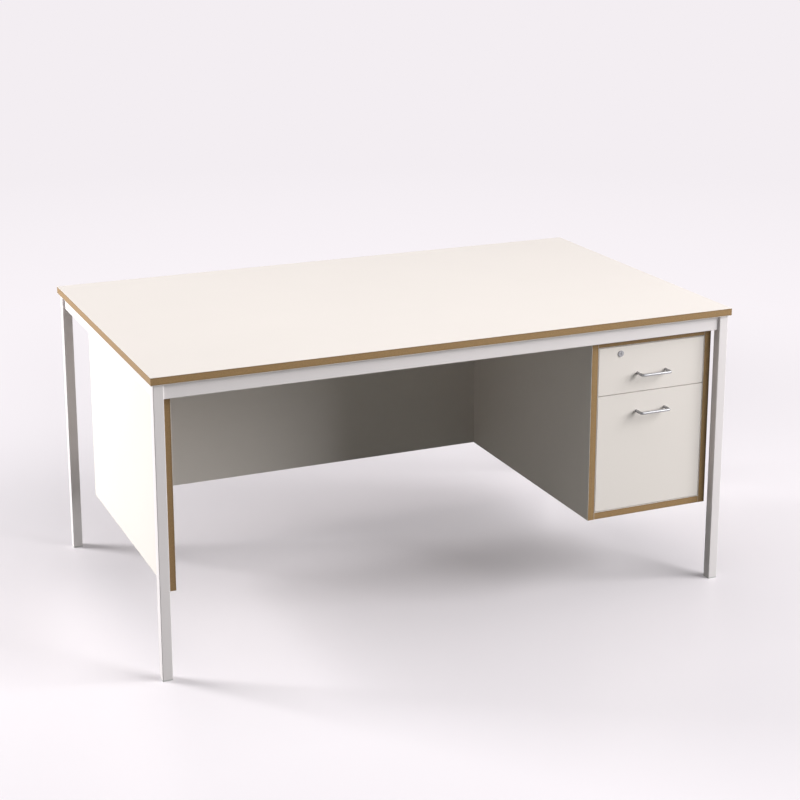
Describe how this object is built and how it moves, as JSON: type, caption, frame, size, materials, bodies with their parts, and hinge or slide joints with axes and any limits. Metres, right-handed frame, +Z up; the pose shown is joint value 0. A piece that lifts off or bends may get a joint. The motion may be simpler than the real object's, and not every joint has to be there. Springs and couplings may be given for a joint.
{
  "type": "teacher desk",
  "caption": "Rectangular tube-frame desk with a laminated top, side and modesty panels, and a hung pedestal with a box drawer above a file drawer.",
  "frame": {"origin": "on the floor, in the middle of the footprint of the closed desk", "axes": "+Z up, -Y towards the user who sits at the desk, +X towards the pedestal (the user's right), along the desktop's length"},
  "size_m": [1.524, 0.914, 0.737],
  "materials": {
    "laminate": "matte high-pressure laminate, warm white",
    "fibreboard": "sealed raw edge of medium-density fibreboard",
    "frame_paint": "satin powder coat, light warm grey",
    "edge_band": "matte plastic edge band",
    "melamine_board": "white melamine-faced board",
    "zinc_steel": "bright zinc plate",
    "satin_nickel": "satin nickel plate",
    "glide_plastic": "moulded polyethylene",
    "dowel_beech": "fluted beech dowel, unfinished"
  },
  "bodies": {
    "desk": {"leg_front_left": "frame_paint", "leg_front_right": "frame_paint", "leg_rear_left": "frame_paint", "leg_rear_right": "frame_paint", "front_rail": "frame_paint", "rear_rail": "frame_paint", "left_end_rail": "frame_paint", "right_end_rail": "frame_paint", "hanger_rails": "frame_paint", "leg_glides": "glide_plastic", "angle_brackets": "zinc_steel", "bracket_screws": "zinc_steel", "desktop_core": "fibreboard", "desktop_laminate": "laminate", "desktop_backer": "laminate", "end_panel_core": "fibreboard", "end_panel_laminates": "laminate", "end_panel_spacers": "glide_plastic", "end_panel_screws": "zinc_steel", "modesty_core": "fibreboard", "modesty_laminates": "laminate", "pedestal_left_core": "fibreboard", "pedestal_left_laminates": "laminate", "pedestal_right_core": "fibreboard", "pedestal_right_laminates": "laminate", "pedestal_top_core": "fibreboard", "pedestal_bottom_core": "fibreboard", "pedestal_shelf_laminates": "laminate", "pedestal_back": "melamine_board", "pedestal_dowels": "dowel_beech", "pedestal_bolts": "zinc_steel", "pedestal_nuts": "zinc_steel", "lock_strike": "zinc_steel", "box_slide_cabinet_members": "zinc_steel", "file_slide_cabinet_members": "zinc_steel"},
    "box_slide_middle": {"box_slide_middle_members": "zinc_steel"},
    "file_slide_middle": {"file_slide_middle_members": "zinc_steel"},
    "box_drawer": {"box_slide_drawer_members": "zinc_steel", "box_front_core": "fibreboard", "box_front_laminates": "laminate", "box_front_edge_band": "edge_band", "box_drawer_sides": "melamine_board", "box_drawer_back": "melamine_board", "box_drawer_bottom": "melamine_board", "box_handle": "satin_nickel", "box_handle_screws": "zinc_steel", "lock_housing": "satin_nickel", "lock_nut": "zinc_steel"},
    "lock_cylinder": {"lock_plug": "satin_nickel", "lock_cam": "zinc_steel"},
    "file_drawer": {"file_slide_drawer_members": "zinc_steel", "file_front_core": "fibreboard", "file_front_laminates": "laminate", "file_front_edge_band": "edge_band", "file_drawer_sides": "melamine_board", "file_drawer_back": "melamine_board", "file_drawer_bottom": "melamine_board", "file_handle": "satin_nickel", "file_handle_screws": "zinc_steel", "file_bars": "zinc_steel"}
  },
  "joints": [
    {"name": "box_drawer_slide", "type": "slide", "parent": "desk", "child": "box_drawer", "axis": [0, -1, 0], "range_m": [0, 0.5]},
    {"name": "box_slide_middle_slide", "type": "slide", "parent": "desk", "child": "box_slide_middle", "axis": [0, -1, 0], "range_m": [0, 0.25]},
    {"name": "file_drawer_slide", "type": "slide", "parent": "desk", "child": "file_drawer", "axis": [0, -1, 0], "range_m": [0, 0.5]},
    {"name": "file_slide_middle_slide", "type": "slide", "parent": "desk", "child": "file_slide_middle", "axis": [0, -1, 0], "range_m": [0, 0.25]},
    {"name": "lock_turn", "type": "hinge", "parent": "box_drawer", "child": "lock_cylinder", "pos_m": [0.4578, -0.4255, 0.6439], "axis": [0, -1, 0], "range_deg": [0, 90]}
  ],
  "couplings": [
    {"joint": "box_slide_middle_slide", "follows": "box_drawer_slide", "ratio": 0.5},
    {"joint": "file_slide_middle_slide", "follows": "file_drawer_slide", "ratio": 0.5}
  ]
}
